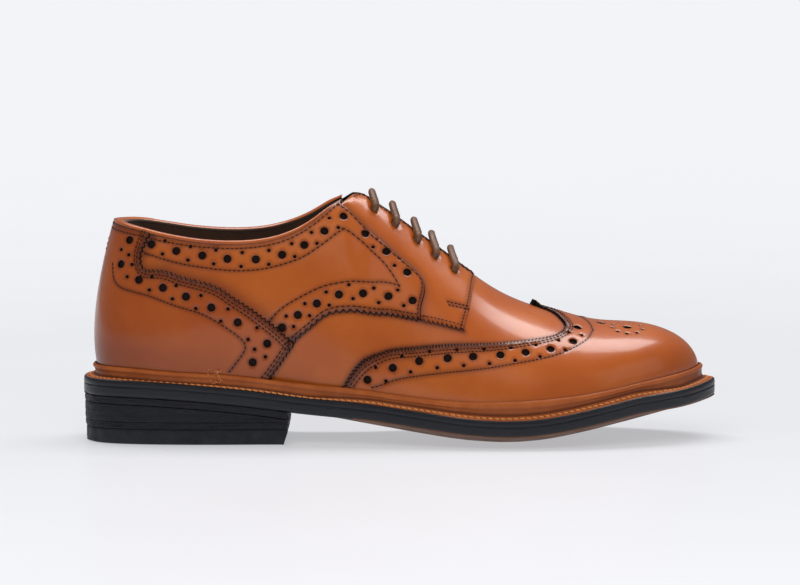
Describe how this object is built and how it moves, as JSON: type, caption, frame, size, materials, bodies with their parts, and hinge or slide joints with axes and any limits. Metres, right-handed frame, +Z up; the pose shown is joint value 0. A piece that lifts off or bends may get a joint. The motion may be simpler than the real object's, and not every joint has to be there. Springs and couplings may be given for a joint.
{
  "type": "full-brogue derby shoe",
  "caption": "Right-foot leather lace-up shoe with a perforated wing cap, open lacing over a tongue, storm welt, black-edged sole and stacked heel.",
  "frame": {"origin": "on the ground under the middle of the outsole's length and width", "axes": "+X from heel to toe, +Y to the medial side, +Z up"},
  "size_m": [0.305, 0.1078, 0.1191],
  "materials": {
    "leather_tan": "semi gloss",
    "leather_dark": "semi gloss",
    "welt_leather": "satin",
    "edge_black": "satin",
    "heel_leather": "rough",
    "rubber_black": "matte",
    "lining_leather": "matte",
    "veg_leather": "matte",
    "cork": "matte",
    "stiffener_board": "matte",
    "shank_steel": "brushed",
    "brass": "polished",
    "lace_cotton": "waxed",
    "aglet_plastic": "gloss"
  },
  "bodies": {
    "shoe": {"lateral_quarter": "leather_tan", "medial_quarter": "leather_tan", "lateral_facing_stay": "leather_tan", "medial_facing_stay": "leather_tan", "vamp": "leather_tan", "toe_cap": "leather_tan", "heel_counter": "leather_dark", "lateral_quarter_lining": "lining_leather", "medial_quarter_lining": "lining_leather", "vamp_lining": "lining_leather", "heel_sock": "lining_leather", "welt": "welt_leather", "heel_rand": "welt_leather", "outsole": "edge_black", "heel_lift_1": "heel_leather", "heel_lift_2": "heel_leather", "heel_lift_3": "heel_leather", "top_piece": "rubber_black", "insole": "veg_leather", "insole_rib": "veg_leather", "cork_filler": "cork", "toe_puff": "stiffener_board", "heel_stiffener": "stiffener_board", "shank": "shank_steel", "heel_nail_1": "brass", "heel_nail_2": "brass", "heel_nail_3": "brass", "heel_nail_4": "brass", "lateral_aglet": "aglet_plastic", "medial_aglet": "aglet_plastic", "shoelace": "lace_cotton"},
    "lateral_flap": {"lateral_facing": "leather_tan", "lateral_facing_lining": "lining_leather", "lateral_eyelet_1": "brass", "lateral_eyelet_2": "brass", "lateral_eyelet_3": "brass", "lateral_eyelet_4": "brass", "lateral_eyelet_5": "brass"},
    "medial_flap": {"medial_facing": "leather_tan", "medial_facing_lining": "lining_leather", "medial_eyelet_1": "brass", "medial_eyelet_2": "brass", "medial_eyelet_3": "brass", "medial_eyelet_4": "brass", "medial_eyelet_5": "brass"},
    "tongue": {"tongue": "leather_tan", "tongue_lining": "lining_leather"}
  },
  "joints": [
    {"name": "lateral_flap_hinge", "type": "hinge", "parent": "shoe", "child": "lateral_flap", "pos_m": [-0.02976, -0.01757, 0.11504], "axis": [0.7416, -0.2069, -0.6382], "range_deg": [0, 15], "stiffness_Nm_per_rad": 0.05, "springref_deg": -11.46, "deforming": ["shoelace"]},
    {"name": "medial_flap_hinge", "type": "hinge", "parent": "shoe", "child": "medial_flap", "pos_m": [-0.02948, 0.01752, 0.11593], "axis": [-0.7367, -0.1761, 0.6528], "range_deg": [0, 15], "stiffness_Nm_per_rad": 0.05, "springref_deg": -11.46, "deforming": ["shoelace"]},
    {"name": "tongue_hinge", "type": "hinge", "parent": "shoe", "child": "tongue", "pos_m": [0.03188, 0.00042, 0.07476], "axis": [0, -1, 0], "range_deg": [0, 8], "stiffness_Nm_per_rad": 0.05, "springref_deg": -11.46, "deforming": ["shoelace"]}
  ]
}
